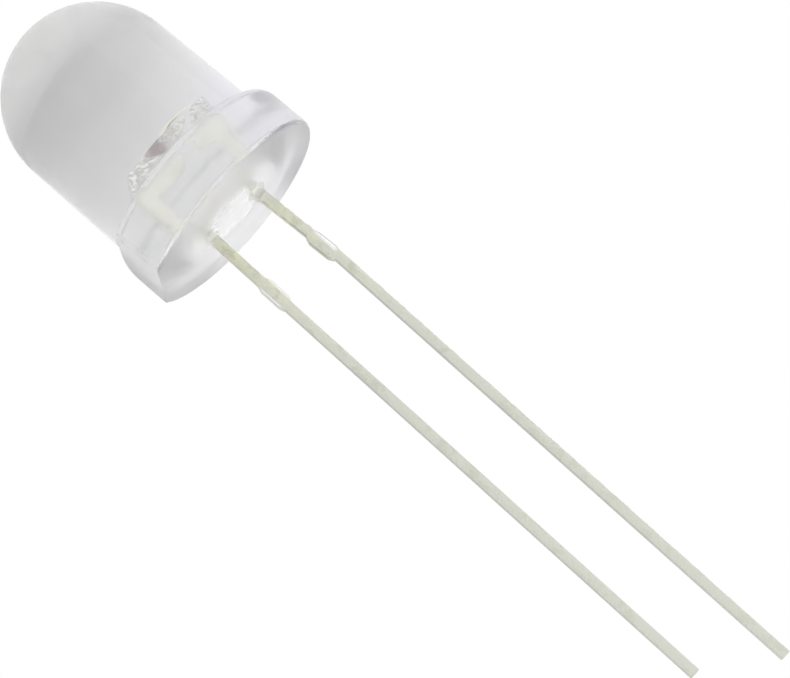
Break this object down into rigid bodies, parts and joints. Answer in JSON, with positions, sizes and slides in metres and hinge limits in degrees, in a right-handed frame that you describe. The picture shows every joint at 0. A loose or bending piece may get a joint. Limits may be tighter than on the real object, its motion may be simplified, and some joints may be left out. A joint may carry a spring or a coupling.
{
  "type": "through hole led",
  "caption": "Round through hole LED: clear epoxy lens with a domed top and a flanged base, flat on the cathode side, long tinned leads.",
  "frame": {"origin": "centre of the seat, the underside of the flange, on the lens axis", "axes": "+Z along the lens axis towards the dome, +X from the cathode lead towards the anode lead, leads down -Z"},
  "size_m": [0.0087, 0.009, 0.038],
  "materials": {
    "clear_epoxy": "water-clear cast epoxy, glossy",
    "tinned_lead": "tin-plated stamped sheet, slightly mottled",
    "semiconductor": "bare semiconductor die",
    "silver_epoxy": "silver-filled adhesive",
    "gold_wire": "drawn gold wire"
  },
  "bodies": {
    "root": {"lens": "clear_epoxy", "cathode_lead": "tinned_lead", "anode_lead": "tinned_lead", "die": "semiconductor", "die_attach": "silver_epoxy", "bond_wire": "gold_wire"}
  },
  "joints": []
}
